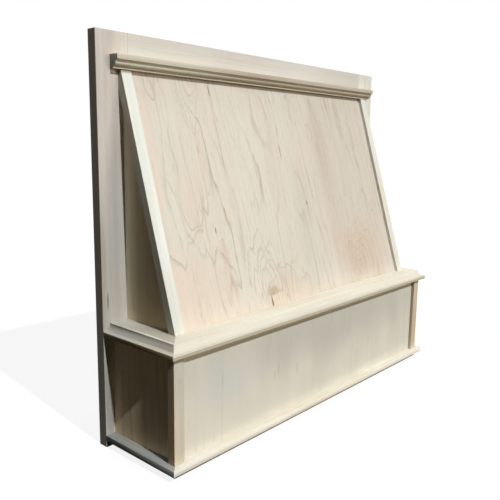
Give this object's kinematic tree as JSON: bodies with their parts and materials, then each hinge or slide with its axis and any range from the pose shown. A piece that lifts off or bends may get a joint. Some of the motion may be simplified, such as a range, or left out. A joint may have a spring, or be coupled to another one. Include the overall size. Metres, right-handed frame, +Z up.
{
  "type": "wooden range hood cover",
  "caption": "Unfinished maple range hood cover: flat back frame, sloped chimney front, moulded mantel shelf and a box below, open at the back and underneath for the fan.",
  "frame": {"origin": "middle of the rear face of the back frame's top rail, where the cover hangs", "axes": "+Z up, +X to the right seen from the front, -Y towards the room, +Y towards the wall or cabinet behind"},
  "size_m": [0.762, 0.1818, 0.645],
  "materials": {
    "maple_lumber": "sanded solid maple, unfinished",
    "maple_veneer": "sanded maple-veneered plywood, unfinished",
    "cleat_lumber": "rough-sawn softwood, unfinished",
    "screw_steel": "zinc-plated screw"
  },
  "bodies": {
    "root": {"back_stile_left": "maple_lumber", "back_stile_right": "maple_lumber", "back_top_rail": "maple_lumber", "base_cleat_front": "cleat_lumber", "base_cleat_left": "cleat_lumber", "base_cleat_right": "cleat_lumber", "bottom_ledge_front": "maple_lumber", "bottom_ledge_left": "maple_lumber", "bottom_ledge_right": "maple_lumber", "corner_block_left": "cleat_lumber", "corner_block_right": "cleat_lumber", "corner_post_left": "maple_lumber", "corner_post_right": "maple_lumber", "frame_screw_left_lower": "screw_steel", "frame_screw_left_upper": "screw_steel", "frame_screw_right_lower": "screw_steel", "frame_screw_right_upper": "screw_steel", "liner_cleat_front": "cleat_lumber", "liner_cleat_left": "cleat_lumber", "liner_cleat_right": "cleat_lumber", "lower_front_panel": "maple_veneer", "lower_side_left": "maple_veneer", "lower_side_right": "maple_veneer", "mantel_cleat_front": "cleat_lumber", "mantel_cleat_left": "cleat_lumber", "mantel_cleat_right": "cleat_lumber", "mantel_front": "maple_lumber", "mantel_return_left": "maple_lumber", "mantel_return_right": "maple_lumber", "mantel_screw_front_centre": "screw_steel", "mantel_screw_front_left": "screw_steel", "mantel_screw_front_right": "screw_steel", "mantel_screw_left_front": "screw_steel", "mantel_screw_left_rear": "screw_steel", "mantel_screw_right_front": "screw_steel", "mantel_screw_right_rear": "screw_steel", "slope_cleat_left": "cleat_lumber", "slope_cleat_right": "cleat_lumber", "slope_front_panel": "maple_veneer", "slope_stile_left": "maple_lumber", "slope_stile_right": "maple_lumber", "top_trim_moulding": "maple_lumber", "upper_side_left": "maple_veneer", "upper_side_right": "maple_veneer"}
  },
  "joints": []
}
